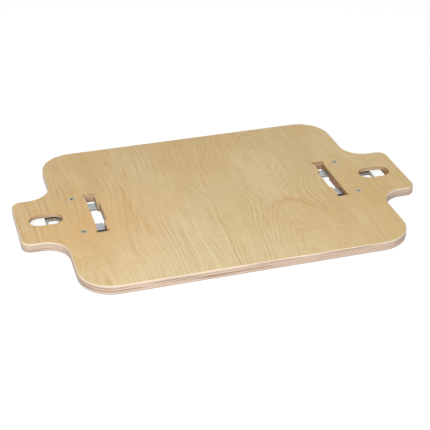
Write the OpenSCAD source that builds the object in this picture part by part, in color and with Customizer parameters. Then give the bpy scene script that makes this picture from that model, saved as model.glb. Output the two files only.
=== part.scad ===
// Plywood transfer board with a spring latch at each end.
// The board drops over an upright tenon at each slot. Two prongs of a sliding
// steel plate cross the slot and lock the tenon. A finger in the tongue's hole
// pulls the plate outward against two springs and frees it.
// Origin: middle of the underside. X runs along the board, Y across it, Z up.
// Lengths are in millimetres.

/* [Board] */
// Length over both tongues
board_length = 640; // [600:1:700]
// Length of the wide body, without the tongues
body_length = 510; // [480:1:540]
// Width of the body
board_width = 420; // [340:1:480]
// Width of the tongue at each end
tongue_width = 132; // [120:1:160]
// Thickness of the plywood
board_thickness = 15; // [14:0.5:21]
// Radius of the body's four corners
body_corner_r = 53; // [20:1:70]
// Radius of the inside curve between body and tongue
neck_fillet_r = 37.5; // [15:0.5:42]
// Radius of the tongue's two corners
tongue_corner_r = 15.5; // [6:0.5:25]

/* [Tenon slots] */
// Distance between the centre lines of the two slots
slot_spacing = 392; // [370:0.5:400]
// Width of a slot, along the board
slot_width = 15; // [12:0.1:17]
// Length of a slot, across the board
slot_length = 120; // [110:1:140]
// Radius of the cutter reliefs in a slot's corners
relief_r = 3; // [2:0.5:4]
// Length of the notch in a slot's inner wall
notch_length = 58; // [30:1:80]
// Depth of that notch
notch_depth = 4.2; // [3:0.1:6]
// Radius of the notch's corners
notch_corner_r = 6; // [2:0.5:7]

/* [Finger holes] */
// Length of a finger hole, along the board
finger_hole_length = 52; // [46:1:56]
// Width of a finger hole
finger_hole_width = 31; // [26:1:36]
// Wood left between a finger hole and the tip of its tongue
finger_hole_edge = 20; // [16:1:24]

/* [Latch pocket] */
// Depth of the pocket routed in the underside
pocket_depth = 9.2; // [8.5:0.1:10]
// Radius of the pocket's corners
pocket_corner_r = 4; // [3:0.5:6]
// Wood left between the pocket and a nut's hole
nut_web = 3.3; // [3:0.1:6]
// Wood left between a slot's corner reliefs and the keeper's recess
relief_web = 1.5; // [1.2:0.1:3]

/* [Latch plate] */
// Thickness of the latch's sheet steel
latch_thickness = 2; // [1.5:0.1:2.2]
// Width of the latch plate
latch_width = 84; // [80:1:92]
// Width of one prong
prong_width = 20; // [18:0.5:24]
// How far the latch can be pulled outward
latch_travel = 17; // [16:0.5:19]
// How far the latch reaches into the finger hole at rest
latch_show = 26.5; // [22:0.5:30]
// Length of the finger window in the latch, along the board
finger_window_length = 15.8; // [14:0.1:17]
// Width of the finger window
finger_window_width = 16; // [14:0.5:24]
// Radius of the finger window's corners
finger_window_r = 5; // [3:0.5:6]
// Width of the bar that the finger pulls
pull_bar_width = 3.7; // [3:0.1:6]
// Radius of the latch plate's outer corners
latch_corner_r = 6; // [4:0.5:12]
// Radius of the prongs' tips
prong_tip_r = 2; // [1:0.5:4]
// Solid plate between the slot and the gap between the prongs
prong_root_setback = 6; // [4:0.5:7]
// Distance from the slot to the latch's spring ears
ear_setback = 9; // [8:0.5:10]
// Width of a spring ear, on the latch and on the keeper
ear_width = 7; // [6:0.5:7.5]

/* [Keeper plate] */
// Thickness of the keeper's sheet steel
keeper_thickness = 2; // [1.5:0.1:2.2]
// Keeper left outside each screw
keeper_edge = 7.4; // [7:0.1:9]
// Keeper left outward of its spring ears
keeper_margin = 5; // [4:0.5:6]
// Radius of the keeper's corners
keeper_corner_r = 5; // [3:0.5:7]
// How far the keeper lies above the board's underside
keeper_sink = 0.1; // [0.1:0.1:0.3]

/* [Return springs] */
// Distance between the two springs of a latch
spring_spacing = 62; // [60:1:66]
// Outer diameter of a spring
spring_d = 4.4; // [4.2:0.1:4.6]
// Diameter of the spring wire
spring_wire = 0.6; // [0.5:0.05:0.65]
// Number of turns
spring_turns = 10; // [8:1:11]
// Spring travel left when the latch is pulled right out
spring_slack = 2; // [1:0.5:3]

/* [Guide pins and clips] */
// Diameter of a spring's guide pin
pin_d = 2.5; // [2.2:0.1:2.7]
// Diameter at the bottom of the clip's groove
groove_d = 1.9; // [1.6:0.1:2]
// Pin left beyond the clip
pin_tail = 1.7; // [1:0.1:2.5]
// Outer diameter of a retaining clip
clip_d = 4.5; // [4:0.1:4.8]
// Thickness of a retaining clip
clip_thickness = 0.5; // [0.4:0.1:0.8]
// Width of the clip's mouth
clip_mouth = 1.5; // [1:0.1:1.7]

/* [Screws and nuts] */
// Distance from the slot to the screws
screw_setback = 21.3; // [16:0.1:26]
// Diameter of the screw's thread
screw_d = 6; // [5:0.5:6]
// Diameter of the countersunk head
screw_head_d = 11; // [10.6:0.1:11.6]
// Straight rim of the head, above its cone
screw_rim = 0.3; // [0.2:0.1:0.5]
// Length of one arm of the cross recess, across the head
recess_span = 5.8; // [5:0.1:6]
// Width of the cross recess's arms
recess_width = 1.2; // [1:0.1:1.5]
// Depth of the cross recess
recess_depth = 1.9; // [1.2:0.1:2.2]
// Diameter of the nut's shank, pressed into the keeper
nut_shank_d = 8.4; // [7.8:0.1:8.8]
// Diameter of the nut's body
nut_body_d = 11; // [10:0.1:11.4]
// Height of the nut's body above the keeper
nut_height = 4; // [3:0.1:5]

/* [Clearances] */
// Between the latch and the wood above it
roof_gap = 1.4; // [1:0.1:1.6]
// Between the latch's sides and the pocket's walls
side_gap = 0.4; // [0.3:0.05:0.6]
// Between sliding parts that pass over each other
slide_gap = 0.3; // [0.3:0.05:0.4]
// Around the keeper in its recess
fit_gap = 0.4; // [0.3:0.1:0.8]
// Between the prongs' tips and the slot's inner wall
tip_gap = 0.6; // [0.4:0.1:1.5]
// Between the latch at rest and the web of wood along the slot
web_gap = 0.5; // [0.4:0.1:1]
// Around a guide pin in the keeper's ear, on the radius
pin_gap = 0.08; // [0.03:0.01:0.1]
// At each end of a spring
spring_end_gap = 0.1; // [0.1:0.05:0.2]
// Between a spring ear and the edge of its window
window_gap = 1; // [0.6:0.1:1.4]
// Around a screw in the wood, on the radius
screw_gap = 0.25; // [0.1:0.05:0.4]
// Around a screw's rim in the countersink, on the radius
head_gap = 0.1; // [0.05:0.05:0.3]
// Around a nut in the wood
nut_gap = 0.4; // [0.2:0.1:0.6]
// Between a screw and its nut, on the radius
thread_gap = 0.02; // [0.02:0.01:0.05]
// How far a screw's head and tip lie below the faces
head_sink = 0.1; // [0.1:0.1:0.3]

/* [Hidden] */
$fn = 96;
cut = 1; // how far a cutting shape runs past the face that it cuts

// Slot and pocket, measured along X at the right end
slot_x = slot_spacing / 2;
slot_out = slot_x + slot_width / 2;
slot_in = slot_x - slot_width / 2;
finger_hole_out = board_length / 2 - finger_hole_edge;
finger_hole_x = finger_hole_out - finger_hole_length / 2;
pocket_width = latch_width + 2 * side_gap;

// Levels, from the underside up
keeper_top = keeper_sink + keeper_thickness;
latch_z = pocket_depth - roof_gap - latch_thickness;
fold_z = keeper_top + slide_gap;
pin_z = latch_z - pin_d / 2 - 0.05;
nut_top = keeper_top + nut_height;

// Latch, spring and keeper, measured along X at the right end
prong_tip_x = slot_in + tip_gap;
prong_root_x = slot_out + prong_root_setback;
prong_y = (latch_width - prong_width) / 2;
pocket_in = prong_root_x - web_gap;
latch_ear_in = slot_out + ear_setback;
latch_ear_out = latch_ear_in + latch_thickness;
spring_solid = (spring_turns + 1) * spring_wire;
spring_room = latch_travel + spring_solid + spring_slack;
keeper_ear_in = latch_ear_out + spring_room;
keeper_ear_out = keeper_ear_in + keeper_thickness;
clip_in = keeper_ear_out + slide_gap;
clip_out = clip_in + clip_thickness;
pin_end = clip_out + pin_tail;
spring_window_end = pin_end + window_gap;
latch_out = finger_hole_x - finger_hole_length / 2 + latch_show;
finger_window_out = latch_out - pull_bar_width;
keeper_recess_in = slot_out + relief_r + relief_web;
keeper_in = keeper_recess_in + fit_gap;
keeper_out = keeper_ear_out + keeper_margin;
screw_x = slot_out + screw_setback;

// Places across the board
nut_hole_r = nut_body_d / 2 + nut_gap;
screw_y = pocket_width / 2 + nut_web + nut_hole_r;
keeper_width = 2 * (screw_y + keeper_edge);
spring_y = spring_spacing / 2;
window_width = ear_width + 2 * window_gap;

// Screw
head_cone = (screw_head_d - screw_d) / 2;
head_top = board_thickness - head_sink;
head_bottom = head_top - screw_rim - head_cone;

// A rectangle from x0 to x1, centred on the X axis, with round corners
module rounded_rect(x0, x1, width, r) {
    translate([x0 + r, -width / 2]) square([x1 - x0 - 2 * r, width]);
    translate([x0, r - width / 2]) square([x1 - x0, width - 2 * r]);
    for (x = [x0 + r, x1 - r], y = [r - width / 2, width / 2 - r])
        translate([x, y]) circle(r);
}

module both_ends() {
    children();
    rotate([0, 0, 180]) children();
}

module screw_places() {
    for (side = [-1, 1])
        translate([screw_x, side * screw_y, 0]) children();
}

module spring_places() {
    for (side = [-1, 1])
        translate([0, side * spring_y, 0]) children();
}

// Wood in the inside corner between body and tongue
module neck_fillet() {
    translate([body_length / 2, tongue_width / 2])
        difference() {
            translate([-cut, -cut]) square(neck_fillet_r + cut);
            translate([neck_fillet_r, neck_fillet_r]) circle(neck_fillet_r);
        }
}

module board_outline() {
    rounded_rect(-body_length / 2, body_length / 2, board_width, body_corner_r);
    rounded_rect(-board_length / 2, board_length / 2, tongue_width, tongue_corner_r);
    for (end = [0, 1], side = [0, 1])
        mirror([end, 0]) mirror([0, side]) neck_fillet();
}

module slot_outline() {
    translate([slot_in, -slot_length / 2]) square([slot_width, slot_length]);
    for (x = [slot_in, slot_out], side = [-1, 1])
        translate([x, side * (slot_length / 2 - relief_r)]) circle(relief_r);
    rounded_rect(slot_in - notch_depth, slot_out, notch_length, notch_corner_r);
}

module finger_hole_outline() {
    straight = finger_hole_length - finger_hole_width;
    translate([finger_hole_x, 0]) {
        square([straight, finger_hole_width], center = true);
        for (side = [-1, 1])
            translate([side * straight / 2, 0]) circle(finger_hole_width / 2);
    }
}

// Through hole, countersink that the head seats on, and nut's hole below
module screw_hole() {
    translate([0, 0, -cut])
        cylinder(h = board_thickness + 2 * cut, r = screw_d / 2 + screw_gap);
    translate([0, 0, head_bottom])
        cylinder(h = head_cone, r1 = screw_d / 2, r2 = screw_head_d / 2);
    translate([0, 0, head_bottom + head_cone])
        cylinder(h = screw_rim + head_sink + cut, r = screw_head_d / 2 + head_gap);
    translate([0, 0, -cut])
        cylinder(h = nut_top + nut_gap + cut, r = nut_hole_r);
}

// Pocket for the latch, and from there a passage into the slot for each prong
module pocket_outline() {
    rounded_rect(pocket_in, finger_hole_out, pocket_width, pocket_corner_r);
    for (side = [-1, 1])
        translate([slot_x, side * prong_y - prong_width / 2 - side_gap])
            square([pocket_in + pocket_corner_r - slot_x, prong_width + 2 * side_gap]);
}

module end_cuts() {
    translate([0, 0, -cut]) {
        linear_extrude(board_thickness + 2 * cut) slot_outline();
        linear_extrude(board_thickness + 2 * cut) finger_hole_outline();
        linear_extrude(pocket_depth + cut) pocket_outline();
        linear_extrude(keeper_top + cut)
            rounded_rect(keeper_recess_in, keeper_out + fit_gap, keeper_width + 2 * fit_gap,
                keeper_corner_r);
    }
    screw_places() screw_hole();
}

module board_panel() {
    color("burlywood") difference() {
        linear_extrude(board_thickness) board_outline();
        both_ends() end_cuts();
    }
}

module latch_outline() {
    difference() {
        union() {
            rounded_rect(prong_root_x, latch_out, latch_width, latch_corner_r);
            translate([prong_root_x, -latch_width / 2])
                square([latch_corner_r, latch_width]);
            for (side = [-1, 1])
                translate([0, side * prong_y])
                    rounded_rect(prong_tip_x, prong_root_x + 2 * prong_tip_r,
                        prong_width, prong_tip_r);
        }
        rounded_rect(finger_window_out - finger_window_length, finger_window_out,
            finger_window_width, finger_window_r);
        spring_places()
            translate([latch_ear_out, -window_width / 2])
                square([spring_window_end - latch_ear_out, window_width]);
    }
}

// Sheet steel, 2 mm: two prongs, a finger window, down-turned sides and spring ears
module latch_plate() {
    flange_length = latch_out - latch_corner_r - prong_root_x;
    color("silver") difference() {
        union() {
            translate([0, 0, latch_z]) linear_extrude(latch_thickness) latch_outline();
            for (y = [-latch_width / 2, latch_width / 2 - latch_thickness])
                translate([prong_root_x, y, fold_z])
                    cube([flange_length, latch_thickness, latch_z - fold_z]);
            spring_places()
                translate([latch_ear_in, -ear_width / 2, fold_z])
                    cube([latch_thickness, ear_width, latch_z - fold_z]);
        }
        spring_places()
            translate([latch_ear_in - cut, 0, pin_z]) rotate([0, 90, 0])
                cylinder(h = latch_thickness + 2 * cut, r = pin_d / 2);
    }
}

module keeper_outline() {
    difference() {
        rounded_rect(keeper_in, keeper_out, keeper_width, keeper_corner_r);
        screw_places() circle(nut_shank_d / 2);
        spring_places()
            translate([keeper_ear_out, -window_width / 2])
                square([keeper_margin + cut, window_width]);
    }
}

// Sheet steel, 2 mm: holds the latch in its pocket, with two up-turned spring ears
module keeper_plate() {
    ear_height = latch_z + latch_thickness - keeper_top;
    color("lightsteelblue") difference() {
        union() {
            translate([0, 0, keeper_sink]) linear_extrude(keeper_thickness) keeper_outline();
            spring_places()
                translate([keeper_ear_in, -ear_width / 2, keeper_top])
                    cube([keeper_thickness, ear_width, ear_height]);
        }
        spring_places()
            translate([keeper_ear_in - cut, 0, pin_z]) rotate([0, 90, 0])
                cylinder(h = keeper_thickness + 2 * cut, r = pin_d / 2 + pin_gap);
    }
}

// Compression spring with closed end turns, along X between the two ears
module return_spring() {
    sides = 6;
    steps = 16;
    length = spring_room - 2 * spring_end_gap - spring_wire;
    closed = 1.05 * spring_wire;
    open = (length - 2 * closed) / (spring_turns - 2);
    last = spring_turns * steps;
    coil_r = (spring_d - spring_wire) / 2;
    function along(t) = closed * min(t, 1) + open * max(0, min(t - 1, spring_turns - 2))
        + closed * max(0, t - spring_turns + 1);
    function ring_point(i, k) =
        let (turn = 360 * i / steps, around = 360 * k / sides,
            r = coil_r + spring_wire / 2 * cos(around))
        [along(i / steps) + spring_wire / 2 * sin(around), r * cos(turn), r * sin(turn)];
    points = [for (i = [0:last], k = [0:sides - 1]) ring_point(i, k)];
    walls = [for (i = [0:last - 1], k = [0:sides - 1])
        let (a = i * sides + k, b = i * sides + (k + 1) % sides)
        each [[a, b, b + sides], [a, b + sides, a + sides]]];
    start_cap = [for (k = [1:sides - 2]) [0, k + 1, k]];
    end_cap = [for (k = [1:sides - 2]) [last * sides, last * sides + k, last * sides + k + 1]];
    color("gray")
        translate([latch_ear_out + spring_end_gap + spring_wire / 2, 0, pin_z])
            polyhedron(points, concat(walls, start_cap, end_cap));
}

// Riveted into the latch's ear, slides in the keeper's ear, grooved for a clip
module guide_pin() {
    color("dimgray") translate([latch_ear_in, 0, pin_z]) rotate([0, 90, 0])
        difference() {
            cylinder(h = pin_end - latch_ear_in, r = pin_d / 2);
            translate([0, 0, clip_in - latch_ear_in])
                difference() {
                    cylinder(h = clip_thickness, r = pin_d);
                    translate([0, 0, -cut])
                        cylinder(h = clip_thickness + 2 * cut, r = groove_d / 2);
                }
        }
}

// Snaps into the pin's groove and stops the latch at rest
module retaining_clip() {
    color("darkgray") translate([clip_in, 0, pin_z]) rotate([0, 90, 0])
        linear_extrude(clip_thickness) difference() {
            circle(clip_d / 2);
            circle(groove_d / 2);
            translate([0, -clip_mouth / 2]) square([clip_d, clip_mouth]);
        }
}

// Countersunk machine screws with a cross recess
module panel_screws() {
    color("gainsboro") screw_places() difference() {
        union() {
            translate([0, 0, keeper_sink + head_sink])
                cylinder(h = head_top - keeper_sink - head_sink, r = screw_d / 2);
            translate([0, 0, head_bottom])
                cylinder(h = head_cone, r1 = screw_d / 2, r2 = screw_head_d / 2);
            translate([0, 0, head_bottom + head_cone])
                cylinder(h = screw_rim, r = screw_head_d / 2);
        }
        for (turn = [0, 90])
            rotate([0, 0, turn])
                translate([-recess_span / 2, -recess_width / 2, head_top - recess_depth])
                    cube([recess_span, recess_width, recess_depth + cut]);
    }
}

// Nuts pressed into the keeper, sunk in the wood above it
module clinch_nuts() {
    color("slategray") screw_places() difference() {
        union() {
            translate([0, 0, keeper_sink])
                cylinder(h = nut_top - keeper_sink, r = nut_shank_d / 2);
            translate([0, 0, keeper_top])
                cylinder(h = nut_height, r = nut_body_d / 2);
        }
        translate([0, 0, -cut])
            cylinder(h = nut_top + 2 * cut, r = screw_d / 2 + thread_gap);
    }
}

// Everything above is drawn at the right end. The left end is the same, turned round.
module left_end() rotate([0, 0, 180]) children();
module right_front() translate([0, -spring_y, 0]) children();
module right_rear() translate([0, spring_y, 0]) children();
module left_front() left_end() right_rear() children();
module left_rear() left_end() right_front() children();

board_panel();
left_end() latch_plate();  // left_latch_plate
latch_plate();  // right_latch_plate
left_end() keeper_plate();  // left_keeper_plate
keeper_plate();  // right_keeper_plate
left_front() return_spring();  // left_front_spring
left_rear() return_spring();  // left_rear_spring
right_front() return_spring();  // right_front_spring
right_rear() return_spring();  // right_rear_spring
left_front() guide_pin();  // left_front_guide_pin
left_rear() guide_pin();  // left_rear_guide_pin
right_front() guide_pin();  // right_front_guide_pin
right_rear() guide_pin();  // right_rear_guide_pin
left_front() retaining_clip();  // left_front_retaining_clip
left_rear() retaining_clip();  // left_rear_retaining_clip
right_front() retaining_clip();  // right_front_retaining_clip
right_rear() retaining_clip();  // right_rear_retaining_clip
left_end() panel_screws();  // left_panel_screws
panel_screws();  // right_panel_screws
left_end() clinch_nuts();  // left_clinch_nuts
clinch_nuts();  // right_clinch_nuts
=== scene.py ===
import math

import bmesh
import bpy
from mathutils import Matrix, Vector


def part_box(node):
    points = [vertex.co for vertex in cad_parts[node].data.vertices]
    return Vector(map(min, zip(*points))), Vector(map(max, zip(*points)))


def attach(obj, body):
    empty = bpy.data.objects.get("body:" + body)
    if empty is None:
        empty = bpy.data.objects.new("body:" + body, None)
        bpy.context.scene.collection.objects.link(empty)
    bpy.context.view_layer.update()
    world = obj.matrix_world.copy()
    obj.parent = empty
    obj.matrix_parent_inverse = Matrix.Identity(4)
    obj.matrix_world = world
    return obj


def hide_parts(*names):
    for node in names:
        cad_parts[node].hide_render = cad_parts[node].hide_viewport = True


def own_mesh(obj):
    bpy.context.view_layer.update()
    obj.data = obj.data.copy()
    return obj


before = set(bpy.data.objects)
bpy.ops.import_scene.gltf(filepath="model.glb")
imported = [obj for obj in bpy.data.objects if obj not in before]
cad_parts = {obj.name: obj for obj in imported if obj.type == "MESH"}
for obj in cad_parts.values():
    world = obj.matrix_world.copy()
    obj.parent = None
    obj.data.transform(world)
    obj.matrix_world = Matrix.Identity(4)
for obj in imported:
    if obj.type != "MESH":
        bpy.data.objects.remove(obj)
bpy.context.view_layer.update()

# ---------------------------------------------------------------------------
# Board panel
# One piece of 15 mm birch plywood, eleven plies, cut on a router, its edges
# rounded over and the whole lacquered clear. The face grain runs across it.
# ---------------------------------------------------------------------------
MM = 0.001
board_low, board_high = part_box("board_panel")
board_t = board_high.z - board_low.z
plies = 11
ply_t = board_t / plies
edge_round = 2.0 * MM
finger_hole_share, slot_share = 0.4, 0.15  # of the outline's rounding
slot_reach = 0.21  # nothing but the slots lies nearer the middle than this
inner_x, inner_y = 0.304, 0.0625  # the slots, holes and recesses lie within these
screw_x, screw_y = 0.2248, 0.0516
screw_reach = 8 * MM  # a screw's rims lie nearer its axis than this
level = 0.01 * MM  # heights that differ by less are the same


def merged_copy(node, name):
    """A CAD node's loose triangles as one closed mesh with whole flat faces."""
    piece = bpy.data.objects.new(name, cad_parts[node].data.copy())
    bpy.context.scene.collection.objects.link(piece)
    edit(piece)
    bpy.ops.mesh.select_all(action="SELECT")
    bpy.ops.mesh.remove_doubles(threshold=0.001 * MM)
    bpy.ops.mesh.dissolve_limited(angle_limit=math.radians(0.3))
    bpy.ops.mesh.customdata_custom_splitnormals_clear()
    bpy.ops.object.mode_set(mode="OBJECT")
    return piece


def pick(piece):
    """Makes this piece the only selected one, and the active one."""
    bpy.ops.object.select_all(action="DESELECT")
    piece.select_set(True)
    bpy.context.view_layer.objects.active = piece


def edit(piece):
    """Opens this piece's mesh for editing, with nothing selected."""
    pick(piece)
    bpy.ops.object.mode_set(mode="EDIT")
    bpy.ops.mesh.select_all(action="DESELECT")


def finish_edges(piece, width, segments, angle=None):
    """Rounds the weighted edges, or all edges sharper than angle, and keeps flat faces flat."""
    pick(piece)
    bpy.ops.object.shade_smooth_by_angle(angle=math.radians(35))
    bpy.ops.object.modifier_add(type="BEVEL")
    bevel = piece.modifiers[-1]
    bevel.width = width
    bevel.segments = segments
    bevel.harden_normals = True
    bevel.limit_method = "WEIGHT" if angle is None else "ANGLE"
    if angle is not None:
        bevel.angle_limit = math.radians(angle)
    bpy.ops.object.modifier_apply(modifier=bevel.name)


def weigh_edges(piece, share):
    """Marks each sharp edge with the share of the rounding that it gets."""
    edit(piece)
    mesh = bmesh.from_edit_mesh(piece.data)
    weights = mesh.edges.layers.float.new("bevel_weight_edge")
    for line in mesh.edges:
        if line.calc_face_angle(0) > math.radians(30):
            line[weights] = share(line.verts[0].co, line.verts[1].co)
    bmesh.update_edit_mesh(piece.data)
    bpy.ops.object.mode_set(mode="OBJECT")


def rim_share(middle):
    """How much of the outline's rounding the rim at this place gets."""
    if abs(middle.x) > inner_x or abs(middle.y) > inner_y:
        return 1.0
    return slot_share if abs(middle.x) < slot_reach else finger_hole_share


def board_share(start, end):
    """All the upper rims but the screws', and the outline's lower rim."""
    middle = (start + end) / 2
    from_screw = max(abs(abs(middle.x) - screw_x), abs(abs(middle.y) - screw_y))
    if min(start.z, end.z) > board_high.z - level and from_screw >= screw_reach:
        return rim_share(middle)
    on_bottom = max(start.z, end.z) < board_low.z + level
    return 1.0 if on_bottom and rim_share(middle) == 1.0 else 0.0


board = merged_copy("board_panel", "board")
weigh_edges(board, board_share)
finish_edges(board, edge_round, 4)


def linear(code):
    """An sRGB hex colour as Blender's linear colour."""
    parts = [int(code[i:i + 2], 16) / 255 for i in (1, 3, 5)]
    return [c / 12.92 if c <= 0.04045 else ((c + 0.055) / 1.055) ** 2.4 for c in parts] + [1.0]


def add(tree, kind, inputs={}, **settings):
    """Adds a node. An input takes a value, a socket, or a node for its first output."""
    made = tree.nodes.new(kind)
    for name, value in settings.items():
        setattr(made, name, value)
    for key, value in inputs.items():
        if isinstance(value, bpy.types.Node):
            value = value.outputs[0]
        if isinstance(value, bpy.types.NodeSocket):
            tree.links.new(value, made.inputs[key])
        else:
            made.inputs[key].default_value = value
    return made


def new_material(name):
    """A material with an empty tree and its output."""
    made = bpy.data.materials.new(name)
    made.use_nodes = True
    made.node_tree.nodes.clear()
    return made, made.node_tree, add(made.node_tree, "ShaderNodeOutputMaterial")


def bell(tree, value, width):
    """exp(-(value / width)^2): one in the middle, and gone at twice the width on both sides."""
    share = add(tree, "ShaderNodeMath", {0: value, 1: width}, operation="DIVIDE")
    share = add(tree, "ShaderNodeMath", {0: share, 1: share}, operation="MULTIPLY")
    share = add(tree, "ShaderNodeMath", {0: share, 1: -1.0}, operation="MULTIPLY")
    return add(tree, "ShaderNodeMath", {0: share}, operation="EXPONENT")


# The figure of the face veneer, in metres, and its mineral streaks, in millimetres
saddle_x, saddle_y = 0.097, -0.033  # where the grain parts
arch_height, arch_width, arch_blunt = 0.060, 0.12, 0.013
nose_x, nose_height, nose_width = -0.212, 0.080, 0.030  # a second, smaller arch
ring_t, ring_swing = 6.8 * MM, 3.2  # their mean distance, and by how many they bunch and spread
log_shift = 14.0  # how far the figure moves across the grain for each metre of depth
mark_x, mark_y, mark_thick, mark_wide = 10 * MM, 1.5 * MM, 9.5 * MM, 40 * MM
streak_colour, streak_depth, mark_depth = "#c8984c", 0.46, 0.50
streak_half_width, streak_half_length = 3.2, 45.0
streak_middles = ((-145, 50), (-139, 0), (-126, -65), (-121, 115), (-160, -118), (4, 98),
                  (-7, 38), (-212, 30), (-213, -20), (233, 0), (137, 78))


def birch_veneer(name, roughness, tone):
    """Rotary-cut birch face veneer. A log is peeled like a pencil shaving, so
    the rings are cut almost flat: faint lines along the grain that part round
    a saddle and close into wide arches and ovals on both sides of it."""
    made, tree, out = new_material(name)
    place = add(tree, "ShaderNodeTexCoord").outputs["Object"]
    at = add(tree, "ShaderNodeSeparateXYZ", {0: place})
    # The lower sheet comes from another stretch of the log, so its figure lies elsewhere
    depth = add(tree, "ShaderNodeMath", {0: board_high.z, 1: at.outputs["Z"]}, operation="SUBTRACT")
    slide = add(tree, "ShaderNodeMath", {0: depth, 1: log_shift}, operation="MULTIPLY")
    # Distance from the saddle, across the grain and along it
    across = add(tree, "ShaderNodeMath", {0: at.outputs["X"], 1: slide}, operation="ADD")
    across = add(tree, "ShaderNodeMath", {0: across, 1: saddle_x}, operation="SUBTRACT")
    along = add(tree, "ShaderNodeMath", {0: at.outputs["Y"], 1: saddle_y}, operation="SUBTRACT")
    # The grain wanders: 20 mm over the length of a hand, then 4 mm over a finger's
    broad = add(tree, "ShaderNodeMapping", {0: place, "Scale": (10.0, 3.4, 60.0)})
    broad = add(tree, "ShaderNodeTexNoise", {0: broad, "Scale": 1.0, "Detail": 1.5, "Roughness": 0.4})
    broad = add(tree, "ShaderNodeMath", {0: broad, 1: 0.5}, operation="SUBTRACT")
    wander = add(tree, "ShaderNodeMath", {0: broad, 1: 0.055, 2: across}, operation="MULTIPLY_ADD")
    waves = add(tree, "ShaderNodeMapping", {0: place, "Scale": (34.0, 10.0, 90.0), "Location": (5, 2, 3)})
    waves = add(tree, "ShaderNodeTexNoise", {0: waves, "Scale": 1.0, "Detail": 2.0, "Roughness": 0.5})
    waves = add(tree, "ShaderNodeMath", {0: waves, 1: 0.5}, operation="SUBTRACT")
    wander = add(tree, "ShaderNodeMath", {0: waves, 1: 0.011, 2: wander}, operation="MULTIPLY_ADD")
    # How far the rings bulge at each place along the grain, as a share of the arch's height
    run = add(tree, "ShaderNodeMapRange", {0: along, 1: -0.20, 2: 0.25})
    bulge = add(tree, "ShaderNodeValToRGB", {0: run})
    bulge.color_ramp.interpolation = "B_SPLINE"
    stops = ((0.0, 1.0), (0.16, 0.80), (0.29, 0.42), (0.38, 0.12), (0.444, 0.0), (0.52, 0.12),
             (0.60, 0.52), (0.70, 0.80), (0.80, 0.66), (0.90, 0.25), (1.0, 0.0))
    bulge.color_ramp.elements[1].position = stops[-1][0]
    bulge.color_ramp.elements[1].color = (0, 0, 0, 1)
    bulge.color_ramp.elements[0].color = (1, 1, 1, 1)
    for position, value in stops[1:-1]:
        bulge.color_ramp.elements.new(position).color = (value, value, value, 1)
    # and only in a broad band on both sides of the saddle
    band = bell(tree, wander, arch_width)
    bulge = add(tree, "ShaderNodeMath", {0: bulge, 1: band}, operation="MULTIPLY")
    # Rounded at the middle, so that lines close in arches and not in points
    blunt = add(tree, "ShaderNodeCombineXYZ", {0: wander, 1: arch_blunt})
    blunt = add(tree, "ShaderNodeVectorMath", {0: blunt}, operation="LENGTH").outputs["Value"]
    field = add(tree, "ShaderNodeMath", {0: bulge, 1: -arch_height, 2: blunt}, operation="MULTIPLY_ADD")
    # A second, smaller arch opens towards the left front corner
    nose = add(tree, "ShaderNodeMath", {0: at.outputs["X"], 1: nose_x}, operation="SUBTRACT")
    nose = add(tree, "ShaderNodeMath", {0: waves, 1: 0.02, 2: nose}, operation="MULTIPLY_ADD")
    nose = bell(tree, nose, nose_width)
    open_end = add(tree, "ShaderNodeMapRange", {
        0: at.outputs["Y"], 1: -0.060, 2: -0.170, 3: 0.0, 4: nose_height}, interpolation_type="SMOOTHSTEP")
    field = add(tree, "ShaderNodeMath", {0: nose, 1: open_end, 2: field}, operation="MULTIPLY_ADD")
    # Good and lean years: rings are 4 to 10 mm apart on the face
    years = add(tree, "ShaderNodeTexNoise", {
        "W": field, "Scale": 45.0, "Detail": 1.0}, noise_dimensions="1D")
    rings = add(tree, "ShaderNodeMath", {0: field, 1: ring_t}, operation="DIVIDE")
    rings = add(tree, "ShaderNodeMath", {0: years, 1: ring_swing, 2: rings}, operation="MULTIPLY_ADD")
    year = add(tree, "ShaderNodeMath", {0: rings}, operation="FLOOR")
    part = add(tree, "ShaderNodeMath", {0: rings}, operation="FRACT")
    # Each ring ends in a narrow, slightly darker line of late wood
    late = add(tree, "ShaderNodeValToRGB", {0: part})
    late.color_ramp.interpolation = "EASE"
    late.color_ramp.elements[0].color = (0.50, 0.50, 0.50, 1)
    late.color_ramp.elements[1].color = (0.50, 0.50, 0.50, 1)
    for position, value in ((0.28, 0.0), (0.55, 0.22), (0.84, 1.0)):
        late.color_ramp.elements.new(position).color = (value, value, value, 1)
    # Lines come and go along the grain, and some years show more than others
    fade = add(tree, "ShaderNodeMapping", {0: place, "Scale": (22.0, 6.0, 40.0), "Location": (3, 1, 2)})
    fade = add(tree, "ShaderNodeTexNoise", {0: fade, "Scale": 1.0, "Detail": 2.0})
    fade = add(tree, "ShaderNodeMapRange", {0: fade, 1: 0.35, 2: 0.68, 3: 0.08, 4: 0.46})
    strong = add(tree, "ShaderNodeTexWhiteNoise", {"W": year}, noise_dimensions="1D")
    strong = add(tree, "ShaderNodeMapRange", {0: strong.outputs["Value"], 3: 0.45, 4: 1.1})
    late = add(tree, "ShaderNodeMath", {0: late, 1: fade}, operation="MULTIPLY")
    late = add(tree, "ShaderNodeMath", {0: late, 1: strong}, operation="MULTIPLY")
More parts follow.
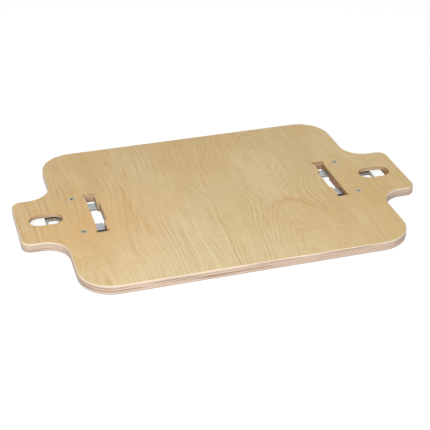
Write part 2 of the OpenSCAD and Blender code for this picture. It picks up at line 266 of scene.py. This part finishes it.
    # Clouds from beige to honey, and a lighter apricot round the left slot. More honey
    # along the right end and towards the rear edge is painted shade, where the lamp's light falls off
    cloud = add(tree, "ShaderNodeMapping", {0: place, "Scale": (13.0, 5.0, 50.0), "Location": (7, 4, 1)})
    cloud = add(tree, "ShaderNodeTexNoise", {0: cloud, "Scale": 1.0, "Detail": 3.0})
    cloud = add(tree, "ShaderNodeMapRange", {0: cloud, 1: 0.30, 2: 0.72, 3: -0.06, 4: 0.40})
    left = add(tree, "ShaderNodeVectorMath", {0: place, 1: (-0.215, -0.04, 0.0)}, operation="DISTANCE")
    left = add(tree, "ShaderNodeMapRange", {0: left.outputs["Value"], 1: 0.18, 2: 0.03, 3: 0.0, 4: 0.70})
    right = add(tree, "ShaderNodeMapRange", {0: at.outputs["X"], 1: 0.04, 2: 0.22, 3: 0.0, 4: 0.52})
    rear = add(tree, "ShaderNodeMapRange", {0: at.outputs["Y"], 1: -0.10, 2: 0.18, 3: 0.0, 4: 0.55})
    # The lean to the right end and the rear is painted shade
    lean = add(tree, "ShaderNodeMath", {0: right, 1: rear}, operation="MAXIMUM")
    cloud = add(tree, "ShaderNodeMath", {0: cloud, 1: lean}, operation="ADD", use_clamp=True)
    beige, honey = linear("#dfca9d"), linear("#d0ad6b")
    apricot, line = linear("#d8ad6e"), linear("#aa7f49")
    wood = add(tree, "ShaderNodeMix", {0: cloud, 6: beige, 7: honey}, data_type="RGBA")
    wood = add(tree, "ShaderNodeMix", {0: left, 6: wood.outputs[2], 7: apricot}, data_type="RGBA")
    wood = add(tree, "ShaderNodeMix", {0: late, 6: wood.outputs[2], 7: line}, data_type="RGBA")
    # Mineral streaks: short orange lines in the grain
    bent = add(tree, "ShaderNodeMath", {0: waves, 1: 0.025, 2: at.outputs["X"]}, operation="MULTIPLY_ADD")
    bent = add(tree, "ShaderNodeMath", {0: bent, 1: slide}, operation="ADD")
    bent = add(tree, "ShaderNodeCombineXYZ", {0: bent, 1: at.outputs["Y"]})
    bent = add(tree, "ShaderNodeVectorMath", {
        0: bent, 1: (1 / (streak_half_width * MM), 1 / (streak_half_length * MM), 0)},
        operation="MULTIPLY")
    stain = 0.0
    for x, y in streak_middles:
        away = add(tree, "ShaderNodeVectorMath", {
            0: bent, 1: (x / streak_half_width, y / streak_half_length, 0)}, operation="DISTANCE")
        away = add(tree, "ShaderNodeMapRange", {
            0: away.outputs["Value"], 1: 0.1, 2: 1.0, 3: streak_depth, 4: 0.0},
            interpolation_type="SMOOTHSTEP")
        stain = add(tree, "ShaderNodeMath", {0: away, 1: stain}, operation="MAXIMUM")
    # A mark of the same orange sits on the saddle like a roof, its right side the steeper
    aside = add(tree, "ShaderNodeMath", {0: across, 1: mark_x}, operation="SUBTRACT")
    leg = add(tree, "ShaderNodeCombineXYZ", {0: aside, 1: 0.008})
    leg = add(tree, "ShaderNodeVectorMath", {0: leg}, operation="LENGTH").outputs["Value"]
    slope = add(tree, "ShaderNodeMapRange", {0: aside, 1: -0.012, 2: 0.012, 3: 0.95, 4: 1.25})
    droop = add(tree, "ShaderNodeMath", {0: leg, 1: slope, 2: along}, operation="MULTIPLY_ADD")
    droop = add(tree, "ShaderNodeMath", {0: waves, 1: 0.05, 2: droop}, operation="MULTIPLY_ADD")
    droop = add(tree, "ShaderNodeMath", {0: droop, 1: mark_y}, operation="SUBTRACT")
    thick, wide = bell(tree, droop, mark_thick), bell(tree, aside, mark_wide)
    mark = add(tree, "ShaderNodeMath", {0: thick, 1: wide}, operation="MULTIPLY")
    mark = add(tree, "ShaderNodeMath", {0: mark, 1: mark_depth}, operation="MULTIPLY")
    stain = add(tree, "ShaderNodeMath", {0: stain, 1: mark}, operation="MAXIMUM")
    wood = add(tree, "ShaderNodeMix", {
        0: stain, 6: wood.outputs[2], 7: linear(streak_colour)}, data_type="RGBA")
    # Fibres and short pores run along the grain, 0.3 mm wide and 8 mm long
    fibre = add(tree, "ShaderNodeMapping", {0: place, "Scale": (1 / (0.3 * MM), 1 / (8 * MM), 300.0)})
    fibre = add(tree, "ShaderNodeTexNoise", {0: fibre, "Scale": 1.0, "Detail": 2.0})
    # Streaks 2.5 mm wide and 60 mm long, which the eye takes for the grain from afar
    streak = add(tree, "ShaderNodeCombineXYZ", {0: wander, 1: at.outputs["Y"], 2: at.outputs["Z"]})
    streak = add(tree, "ShaderNodeMapping", {0: streak, "Scale": (400.0, 17.0, 300.0)})
    streak = add(tree, "ShaderNodeTexNoise", {0: streak, "Scale": 1.0, "Detail": 2.0})
    # Curl: soft bands across the grain that birch shows under lacquer
    curl = add(tree, "ShaderNodeMapping", {0: place, "Scale": (28.0, 75.0, 60.0)})
    curl = add(tree, "ShaderNodeTexNoise", {0: curl, "Scale": 1.0, "Detail": 2.0})
    fine = add(tree, "ShaderNodeMath", {0: curl, 1: 0.6, 2: fibre}, operation="MULTIPLY_ADD")
    fine = add(tree, "ShaderNodeMath", {0: streak, 1: 1.6, 2: fine}, operation="MULTIPLY_ADD")
    fine = add(tree, "ShaderNodeMapRange", {0: fine, 1: 1.0, 2: 2.2, 3: -1.0, 4: 1.0})
    # A dark streak is also a warmer one: blue swings twice as far as red
    fine = add(tree, "ShaderNodeVectorMath", {
        0: fine, 1: (0.085, 0.125, 0.19), 2: (tone, tone, tone)}, operation="MULTIPLY_ADD")
    wood = add(tree, "ShaderNodeVectorMath", {0: wood.outputs[2], 1: fine}, operation="MULTIPLY")
    height = add(tree, "ShaderNodeMath", {0: fibre, 1: late}, operation="SUBTRACT")
    bump = add(tree, "ShaderNodeBump", {"Strength": 0.12, "Distance": 0.05 * MM, "Height": height})
    surface = add(tree, "ShaderNodeBsdfPrincipled", {
        "Base Color": wood, "Roughness": roughness, "IOR": 1.5, "Specular IOR Level": 0.35,
        "Normal": bump})
    tree.links.new(surface.outputs[0], out.inputs[0])
    return made


def plywood_cut(name, ply_colours, wall_shade, roughness, gloss):
    """A cut through birch plywood: eleven plies, laid crosswise in turn, each
    its own shade of the wood, with a thin brown line of glue at every joint.
    Where a ply's fibres meet the cut head on, it is darker and speckled."""
    made, tree, out = new_material(name)
    place = add(tree, "ShaderNodeTexCoord")
    at = add(tree, "ShaderNodeSeparateXYZ", {0: place.outputs["Object"]})
    facing = add(tree, "ShaderNodeSeparateXYZ", {0: place.outputs["Normal"]})
    up = add(tree, "ShaderNodeMath", {0: at.outputs["Z"], 1: board_t}, operation="DIVIDE")
    wood = add(tree, "ShaderNodeValToRGB", {0: up})
    ramp = wood.color_ramp
    ramp.interpolation = "CONSTANT"
    ramp.elements[0].color = linear(ply_colours[0])
    ramp.elements[1].position = (plies - 1) / plies
    ramp.elements[1].color = linear(ply_colours[-1])
    for i in range(1, plies - 1):
        ramp.elements.new(i / plies).color = linear(ply_colours[i])
    # Counted from 0 at the underside, odd plies lie along X and even ones along Y
    layer = add(tree, "ShaderNodeMath", {0: at.outputs["Z"], 1: ply_t}, operation="DIVIDE")
    crosswise = add(tree, "ShaderNodeMath", {0: layer, 1: 2.0}, operation="FLOORED_MODULO")
    crosswise = add(tree, "ShaderNodeMath", {0: crosswise, 1: 1.0}, operation="GREATER_THAN")
    faces_x = add(tree, "ShaderNodeMath", {0: facing.outputs["X"], 1: 2.0}, operation="POWER")
    faces_y = add(tree, "ShaderNodeMath", {0: facing.outputs["Y"], 1: 2.0}, operation="POWER")
    end_grain = add(tree, "ShaderNodeMix", {0: crosswise, 2: faces_y, 3: faces_x}, data_type="FLOAT")
    speck = add(tree, "ShaderNodeTexNoise", {
        0: place.outputs["Object"], "Scale": 1 / (0.5 * MM), "Detail": 2.0})
    fibre = add(tree, "ShaderNodeMapping", {0: place.outputs["Object"], "Scale": (90.0, 90.0, 5000.0)})
    fibre = add(tree, "ShaderNodeTexNoise", {0: fibre, "Scale": 1.0, "Detail": 2.0})
    skin = add(tree, "ShaderNodeMix", {0: end_grain.outputs[0], 2: fibre, 3: speck}, data_type="FLOAT")
    # Each ply's shade drifts along the edge, over a few centimetres
    ply = add(tree, "ShaderNodeMath", {0: layer}, operation="FLOOR")
    in_ply = add(tree, "ShaderNodeMath", {0: ply, 1: 5.3}, operation="MULTIPLY")
    in_ply = add(tree, "ShaderNodeCombineXYZ", {0: at.outputs["X"], 1: at.outputs["Y"], 2: in_ply})
    drift = add(tree, "ShaderNodeMapping", {0: in_ply, "Scale": (26.0, 26.0, 1.0)})
    drift = add(tree, "ShaderNodeTexNoise", {0: drift, "Scale": 1.0, "Detail": 1.0})
    shade = add(tree, "ShaderNodeMath", {0: skin.outputs[0], 1: 0.35, 2: drift}, operation="MULTIPLY_ADD")
    shade = add(tree, "ShaderNodeMapRange", {0: shade, 1: 0.38, 2: 0.98, 3: 0.86, 4: 1.10})
    shade = add(tree, "ShaderNodeMath", {
        0: end_grain.outputs[0], 1: -0.07, 2: shade}, operation="MULTIPLY_ADD")
    wood = add(tree, "ShaderNodeVectorMath", {0: wood, 1: shade}, operation="MULTIPLY")
    # Glue lines, 0.15 mm thick
    joint = add(tree, "ShaderNodeMath", {0: layer, 1: 0.5}, operation="ADD")
    joint = add(tree, "ShaderNodeMath", {0: joint}, operation="FRACT")
    joint = add(tree, "ShaderNodeMath", {0: joint, 1: 0.5, 2: 0.055}, operation="COMPARE")
    glue = add(tree, "ShaderNodeMath", {0: joint, 1: 0.5}, operation="MULTIPLY")
    # The third colour is the brown of the walls' painted shade
    resin, heartwood, shade_brown = linear("#86644a"), linear("#80573f"), linear("#a5753c")
    wood = add(tree, "ShaderNodeMix", {0: glue, 6: wood, 7: resin}, data_type="RGBA")
    # A core ply with brown heartwood shows as a dark streak here and there
    heart = add(tree, "ShaderNodeMapping", {0: in_ply, "Scale": (8.0, 8.0, 1.0), "Location": (2, 0, 0.5)})
    heart = add(tree, "ShaderNodeTexNoise", {0: heart, "Scale": 1.0, "Detail": 1.0})
    heart = add(tree, "ShaderNodeMapRange", {0: heart, 1: 0.59, 2: 0.66, 3: 0.0, 4: 0.55})
    core = add(tree, "ShaderNodeMath", {0: up, 1: 0.5, 2: 0.5 - 1 / plies}, operation="COMPARE")
    heart = add(tree, "ShaderNodeMath", {0: heart, 1: core}, operation="MULTIPLY")
    wood = add(tree, "ShaderNodeMix", {0: heart, 6: wood.outputs[2], 7: heartwood}, data_type="RGBA")
    # Painted shade browns and darkens a wall, most where it faces along the board
    side_shade = add(tree, "ShaderNodeMapRange", {0: faces_x, 3: wall_shade * 0.3, 4: wall_shade})
    # The painted side shade is full at the right end and weaker at the left
    right_end_share = add(tree, "ShaderNodeMapRange", {0: at.outputs["X"], 1: -0.1, 2: 0.1, 3: 0.55, 4: 1.0})
    side_shade = add(tree, "ShaderNodeMath", {0: side_shade, 1: right_end_share}, operation="MULTIPLY")
    wood = add(tree, "ShaderNodeMix", {0: side_shade, 6: wood.outputs[2], 7: shade_brown}, data_type="RGBA")
    # Painted shade darkens the wall towards the underside
    depth_shade = add(tree, "ShaderNodeMapRange", {
        0: at.outputs["Z"], 1: 1.5 * MM, 2: 5.5 * MM, 3: 1 - 0.42 * wall_shade, 4: 1.0})
    wood = add(tree, "ShaderNodeVectorMath", {0: wood.outputs[2], 1: depth_shade}, operation="MULTIPLY")
    bump = add(tree, "ShaderNodeBump", {"Strength": 0.2, "Distance": 0.05 * MM, "Height": skin.outputs[0]})
    surface = add(tree, "ShaderNodeBsdfPrincipled", {
        "Base Color": wood, "Roughness": roughness, "IOR": 1.5, "Specular IOR Level": gloss,
        "Normal": bump})
    tree.links.new(surface.outputs[0], out.inputs[0])
    return made


edge_plies = ["#cdbcaa", "#d4bca9", "#efdfce", "#d0b19b", "#efd8c4", "#d4b59f",
              "#efdac7", "#d5b9a3", "#e2cbb6", "#ecdac5", "#eddac1"]
# The walls inside the slots and holes are darker than the outline's edge: partly the router's burnish,
# partly painted shade of the openings
shaded_wall_plies = ["#dac2a4", "#caad8c", "#dac2a4", "#c6a98a", "#d9c1a2", "#ccae8d",
              "#e0caac", "#d4b898", "#e5cfb1", "#dec4a4", "#cca87a"]
board.data.materials.clear()
board.data.materials.append(birch_veneer("lacquered birch veneer", 0.38, 1.0))
# The outline's edge gets no painted shade; the walls inside the openings get it
board.data.materials.append(plywood_cut("lacquered plywood edge", edge_plies, 0.0, 0.48, 0.2))
board.data.materials.append(plywood_cut("routed plywood wall", shaded_wall_plies, 0.85, 0.5, 0.32))
board.data.materials.append(birch_veneer("routed birch ply", 0.62, 0.88))
for face in board.data.polygons:
    middle = face.center
    outer_sheet = middle.z > board_high.z - level or middle.z < board_low.z + level
    if abs(face.normal.z) > 0.97:
        face.material_index = 0 if outer_sheet else 3
    else:
        face.material_index = 1 if rim_share(middle) == 1.0 else 2
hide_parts("board_panel")
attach(board, "board")

# ---------------------------------------------------------------------------
# Latch plates
# Blanked and folded from 2 mm sheet steel, then zinc plated and passivated,
# which leaves a bluish, slightly cloudy silver. Two prongs cross the slot.
# ---------------------------------------------------------------------------
sheet_t = 2.0 * MM
latch_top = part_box("left_latch_plate")[1].z
prong_root = 0.2095  # from here outward the latch's sides are folded down


def zinc_plate(name, clear, cloudy, roughness):
    """Electroplated zinc with a clear blue passivate: a soft metal shine,
    clouded by the bath, with faint rolling lines from the sheet below."""
    made, tree, out = new_material(name)
    place = add(tree, "ShaderNodeTexCoord").outputs["Object"]
    cloud = add(tree, "ShaderNodeTexNoise", {0: place, "Scale": 160.0, "Detail": 4.0})
    rolled = add(tree, "ShaderNodeMapping", {0: place, "Scale": (40.0, 3000.0, 3000.0)})
    rolled = add(tree, "ShaderNodeTexNoise", {0: rolled, "Scale": 1.0, "Detail": 2.0})
    share = add(tree, "ShaderNodeMapRange", {0: cloud, 1: 0.35, 2: 0.65})
    colour = add(tree, "ShaderNodeMix", {
        0: share, 6: linear(clear), 7: linear(cloudy)}, data_type="RGBA")
    gloss = add(tree, "ShaderNodeMapRange", {
        0: rolled, 1: 0.3, 2: 0.7, 3: roughness - 0.07, 4: roughness + 0.07})
    bump = add(tree, "ShaderNodeBump", {"Strength": 0.15, "Distance": 0.02 * MM, "Height": rolled})
    surface = add(tree, "ShaderNodeBsdfPrincipled", {
        "Base Color": colour.outputs[2], "Metallic": 1.0, "Roughness": gloss, "Normal": bump})
    tree.links.new(surface.outputs[0], out.inputs[0])
    return made


def broken_edges(node, name, width):
    """A CAD node's merged copy with its sharp edges broken."""
    piece = merged_copy(node, name)
    finish_edges(piece, width, 2, angle=30)
    return piece


def dress(piece, node, body, material):
    """Gives a piece its finish, its CAD node's place and its body."""
    piece.data.materials.clear()
    piece.data.materials.append(material)
    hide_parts(node)
    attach(piece, body)


def blanked_edges(piece, material):
    """Gives the sheet's cut edges, which are no taller than the sheet is thick, their own finish."""
    piece.data.materials.append(material)
    for face in piece.data.polygons:
        heights = [piece.data.vertices[v].co.z for v in face.vertices]
        if abs(face.normal.z) < 0.5 and max(heights) - min(heights) < sheet_t + 0.05 * MM:
            face.material_index = 1


latch_zinc = zinc_plate("zinc plated sheet steel", "#bcbfc0", "#adb3bb", 0.40)
# The cut edges are painted darker and browner than the faces: painted shade
shaded_blanked_zinc = zinc_plate("painted shade on blanked edges of zinc plated sheet", "#8e8a80", "#7d7a76", 0.35)


def latch_share(start, end):
    """Only the upper edges are broken: the pins' holes lie too close to the lower ones."""
    return 1.0 if min(start.z, end.z) > latch_top - level else 0.0


for end, sign in (("left", -1), ("right", 1)):
    latch = merged_copy(f"{end}_latch_plate", f"{end}_latch")
    edit(latch)
    bpy.ops.mesh.select_all(action="SELECT")
    bpy.ops.mesh.bisect(plane_co=(sign * prong_root, 0, 0), plane_no=(1, 0, 0))
    bpy.ops.object.mode_set(mode="OBJECT")
    weigh_edges(latch, latch_share)
    finish_edges(latch, 0.2 * MM, 2)
    dress(latch, f"{end}_latch_plate", f"{end}_latch", latch_zinc)
    blanked_edges(latch, shaded_blanked_zinc)

# ---------------------------------------------------------------------------
# Keeper plates
# A strap of the same zinc plated sheet, let flush into the underside. It holds
# the latch up in its pocket and carries the spring ears and the nuts.
# ---------------------------------------------------------------------------
keeper_zinc = zinc_plate("zinc plated strap", "#bdc0c3", "#aeb4bb", 0.42)
for end in ("left", "right"):
    keeper = broken_edges(f"{end}_keeper_plate", f"{end}_keeper", 0.2 * MM)
    dress(keeper, f"{end}_keeper_plate", "board", keeper_zinc)
    blanked_edges(keeper, shaded_blanked_zinc)

# ---------------------------------------------------------------------------
# Return springs
# Wound from 0.6 mm hard-drawn spring wire with closed ends. Each sits on its
# guide pin between the latch's ear and the keeper's ear.
# ---------------------------------------------------------------------------
wire_d = 0.6 * MM
spring_turns = 10
points_a_turn = 20


def drawn_wire():
    """Cold-drawn carbon spring steel: grey, with a fine lengthwise sheen."""
    made, tree, out = new_material("hard drawn spring wire")
    place = add(tree, "ShaderNodeTexCoord").outputs["Object"]
    grain = add(tree, "ShaderNodeTexNoise", {0: place, "Scale": 1500.0, "Detail": 3.0})
    gloss = add(tree, "ShaderNodeMapRange", {0: grain, 1: 0.3, 2: 0.7, 3: 0.24, 4: 0.38})
    surface = add(tree, "ShaderNodeBsdfPrincipled", {
        "Base Color": linear("#8b8d90"), "Metallic": 1.0, "Roughness": gloss})
    tree.links.new(surface.outputs[0], out.inputs[0])
    return made


def spring_along(share, length):
    """Distance along the axis after that share of the turns, with close end turns."""
    closed = 1.05 * wire_d
    turn = share * spring_turns
    pitch = (length - 2 * closed) / (spring_turns - 2)
    return closed * min(turn, 1) + pitch * min(max(turn - 1, 0), spring_turns - 2) \
        + closed * max(turn - spring_turns + 1, 0)


spring_wire = drawn_wire()
for end in ("left", "right"):
    for side in ("front", "rear"):
        node = f"{end}_{side}_spring"
        low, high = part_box(node)
        centre = (low + high) / 2
        coil_r = (high.y - low.y - wire_d) / 2
        length = high.x - low.x - wire_d
        bpy.ops.object.select_all(action="DESELECT")
        bpy.ops.curve.primitive_bezier_curve_add()
        coil = bpy.context.object
        coil.name = f"{end}_{side}_coil"
        coil.data.splines.clear()
        path = coil.data.splines.new("POLY")
        count = spring_turns * points_a_turn + 1
        path.points.add(count - 1)
        for i, point in enumerate(path.points):
            share = i / (count - 1)
            angle = share * spring_turns * math.tau
            point.co = (low.x + wire_d / 2 + spring_along(share, length),
                        centre.y + coil_r * math.cos(angle),
                        centre.z + coil_r * math.sin(angle), 1)
        coil.data.bevel_depth = wire_d / 2
        coil.data.bevel_resolution = 2
        coil.data.use_fill_caps = True
        bpy.ops.object.convert(target="MESH")
        coil = bpy.context.object
        bpy.ops.object.shade_smooth_by_angle(angle=math.radians(50))
        dress(coil, node, "board", spring_wire)
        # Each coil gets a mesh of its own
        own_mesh(coil)

# ---------------------------------------------------------------------------
# Guide pins and retaining clips
# The pins are turned from bright bar, with a groove near the end. A spring
# steel clip, phosphated black, snaps into the groove as the rest stop.
# ---------------------------------------------------------------------------


def turned_steel():
    """Bright free-cutting steel, with the fine rings that the lathe tool leaves."""
    made, tree, out = new_material("turned bright steel")
    place = add(tree, "ShaderNodeTexCoord").outputs["Object"]
    rings = add(tree, "ShaderNodeMapping", {0: place, "Scale": (9000.0, 60.0, 60.0)})
    rings = add(tree, "ShaderNodeTexNoise", {0: rings, "Scale": 1.0, "Detail": 1.0})
    gloss = add(tree, "ShaderNodeMapRange", {0: rings, 1: 0.3, 2: 0.7, 3: 0.20, 4: 0.34})
    bump = add(tree, "ShaderNodeBump", {"Strength": 0.2, "Distance": 0.01 * MM, "Height": rings})
    surface = add(tree, "ShaderNodeBsdfPrincipled", {
        "Base Color": linear("#b4b5b8"), "Metallic": 1.0, "Roughness": gloss, "Normal": bump})
    tree.links.new(surface.outputs[0], out.inputs[0])
    return made


def phosphated_steel():
    """Phosphated and oiled spring steel: a dark grey crystal skin, barely metallic."""
    made, tree, out = new_material("phosphated spring steel")
    place = add(tree, "ShaderNodeTexCoord").outputs["Object"]
    crystal = add(tree, "ShaderNodeTexNoise", {0: place, "Scale": 6000.0, "Detail": 3.0})
    colour = add(tree, "ShaderNodeMix", {
        0: crystal, 6: linear("#3a3b3d"), 7: linear("#56575a")}, data_type="RGBA")
    surface = add(tree, "ShaderNodeBsdfPrincipled", {
        "Base Color": colour.outputs[2], "Metallic": 0.7, "Roughness": 0.5})
    tree.links.new(surface.outputs[0], out.inputs[0])
    return made


pin_steel, clip_steel = turned_steel(), phosphated_steel()
for end in ("left", "right"):
    for side in ("front", "rear"):
        pin = broken_edges(f"{end}_{side}_guide_pin", f"{end}_{side}_pin", 0.12 * MM)
        dress(pin, f"{end}_{side}_guide_pin", f"{end}_latch", pin_steel)
        clip = broken_edges(f"{end}_{side}_retaining_clip", f"{end}_{side}_clip", 0.06 * MM)
        dress(clip, f"{end}_{side}_retaining_clip", f"{end}_latch", clip_steel)

# ---------------------------------------------------------------------------
# Panel screws and clinch nuts
# M6 countersunk screws with a cross recess, zinc plated, driven from above
# into nuts pressed into the keeper plates. The screws' recesses hold painted shade.
# ---------------------------------------------------------------------------
screw_zinc = zinc_plate("dulled zinc plated screw", "#bcb8a6", "#aaa898", 0.38)
recess_shade = zinc_plate("painted shade in a screw recess", "#5c574b", "#4a463c", 0.6)
nut_zinc = zinc_plate("zinc plated nut", "#c6c8ca", "#b4b9bf", 0.36)
recess_r = 3.2 * MM
recess_low, recess_high = board_high.z - 3 * MM, board_high.z - 0.25 * MM
for end in ("left", "right"):
    screws = broken_edges(f"{end}_panel_screws", f"{end}_screws", 0.1 * MM)
    dress(screws, f"{end}_panel_screws", "board", screw_zinc)
    # The faces inside the cross recess are painted dark: painted shade
    screws.data.materials.append(recess_shade)
    for face in screws.data.polygons:
        off_axis = Vector((abs(face.center.x) - screw_x, abs(face.center.y) - screw_y)).length
        if off_axis < recess_r and recess_low < face.center.z < recess_high:
            face.material_index = 1
    nuts = broken_edges(f"{end}_clinch_nuts", f"{end}_nuts", 0.15 * MM)
    dress(nuts, f"{end}_clinch_nuts", "board", nut_zinc)

# ---------------------------------------------------------------------------
# Floor and light
# A plain white sweep under soft studio light: one large lamp in front of the
# board and to the left, and a white room that is dimmer at both sides.
# ---------------------------------------------------------------------------
paper_white = 0.84  # how bright the floor looks to the camera
front_light, side_light = 0.74, 0.22
low_sky = (-0.29, -0.91, 0.30)  # towards the camera's and the lamp's side, and low


def seen_directly(tree):
    """1 for what the camera sees itself, in a mirror or through glass, else 0."""
    ray = add(tree, "ShaderNodeLightPath")
    seen = add(tree, "ShaderNodeMath", {
        0: ray.outputs["Is Camera Ray"], 1: ray.outputs["Is Glossy Ray"]}, operation="ADD")
    seen = add(tree, "ShaderNodeMath", {0: seen, 1: ray.outputs["Is Transmission Ray"]}, operation="ADD")
    return add(tree, "ShaderNodeMath", {0: seen, 1: 1.0}, operation="MINIMUM")


bpy.ops.object.select_all(action="DESELECT")
bpy.ops.mesh.primitive_plane_add(size=30, location=(0, 0, board_low.z))
floor = bpy.context.object
floor.name = "floor"
paper, tree, out = new_material("white sweep")
seen = seen_directly(tree)
at = add(tree, "ShaderNodeTexCoord").outputs["Object"]
at = add(tree, "ShaderNodeSeparateXYZ", {0: at})
in_x = add(tree, "ShaderNodeMath", {0: at.outputs["X"]}, operation="ABSOLUTE")
in_x = add(tree, "ShaderNodeMath", {0: in_x, 1: inner_x}, operation="LESS_THAN")
in_y = add(tree, "ShaderNodeMath", {0: at.outputs["Y"]}, operation="ABSOLUTE")
in_y = add(tree, "ShaderNodeMath", {0: in_y, 1: inner_y}, operation="LESS_THAN")
under_board = add(tree, "ShaderNodeMath", {0: in_x, 1: in_y}, operation="MULTIPLY")
# Seen through the slots and holes, it is white where the low sky is open, and
# dark in the closed spaces
toward = add(tree, "ShaderNodeCombineXYZ", {0: low_sky[0], 1: low_sky[1], 2: low_sky[2]})
open_sky = add(tree, "ShaderNodeAmbientOcclusion", {"Distance": 0.03, "Normal": toward}, samples=128)
open_sky = add(tree, "ShaderNodeMapRange", {0: open_sky.outputs["AO"], 1: 0.42, 2: 0.47})
sheets = []  # the open floor, and the floor under the board's openings
for openness in (1.0, open_sky):
    white = add(tree, "ShaderNodeMath", {0: openness, 1: seen}, operation="MULTIPLY")
    white = add(tree, "ShaderNodeMath", {0: white, 1: paper_white}, operation="MULTIPLY")
    glow = add(tree, "ShaderNodeEmission", {0: (1, 1, 1, 1), "Strength": white})
    matt = add(tree, "ShaderNodeMapRange", {0: white, 1: 0.0, 2: paper_white, 3: 0.42, 4: 0.24})
    matt = add(tree, "ShaderNodeBsdfDiffuse", {0: matt})
    sheets.append(add(tree, "ShaderNodeAddShader", {0: matt, 1: glow}))
sheet = add(tree, "ShaderNodeMixShader", {0: under_board, 1: sheets[0], 2: sheets[1]})
tree.links.new(sheet.outputs[0], out.inputs[0])
floor.data.materials.append(paper)

room = bpy.data.worlds.new("white room")
bpy.context.scene.world = room
room.use_nodes = True
tree = room.node_tree
tree.nodes.clear()
toward = add(tree, "ShaderNodeTexCoord").outputs["Generated"]
toward = add(tree, "ShaderNodeSeparateXYZ", {0: toward})
toward = add(tree, "ShaderNodeMath", {0: toward.outputs["X"]}, operation="ABSOLUTE")
room_light = add(tree, "ShaderNodeMapRange", {0: toward, 3: front_light, 4: side_light})
strength = add(tree, "ShaderNodeMapRange", {0: seen_directly(tree), 3: room_light, 4: 1.0})
sky = add(tree, "ShaderNodeBackground", {0: (1, 1, 1, 1), "Strength": strength})
add(tree, "ShaderNodeOutputWorld", {0: sky})


def lamp(name, place, size, power):
    """A square soft lamp at that place, aimed at the board."""
    data = bpy.data.lights.new(name, "AREA")
    data.size = size
    data.energy = power
    made = bpy.data.objects.new(name, data)
    bpy.context.scene.collection.objects.link(made)
    made.location = place
    made.rotation_euler = (-Vector(place)).to_track_quat("-Z", "Y").to_euler()


lamp("key lamp", (-0.62, -1.42, 1.12), 0.9, 25.8)

# ---------------------------------------------------------------------------
# Camera
# The camera was settled from the board's outline in the photograph.
# ---------------------------------------------------------------------------
aim = Vector((-0.0198, -0.0608, board_high.z))
azimuth = math.radians(-16.52)
elevation = math.radians(30.49)
camera_distance = 1.7135
optics = bpy.data.cameras.new("camera")
optics.sensor_fit = "AUTO"
optics.sensor_width = 36
optics.lens = 92.26
camera = bpy.data.objects.new("camera", optics)
bpy.context.scene.collection.objects.link(camera)
bpy.context.scene.camera = camera
backward = Vector((math.sin(azimuth) * math.cos(elevation),
                   -math.cos(azimuth) * math.cos(elevation), math.sin(elevation)))
camera.location = aim + camera_distance * backward
camera.rotation_euler = (-backward).to_track_quat("-Z", "Y").to_euler()
bpy.context.scene.view_settings.view_transform = "Standard"
bpy.context.view_layer.update()
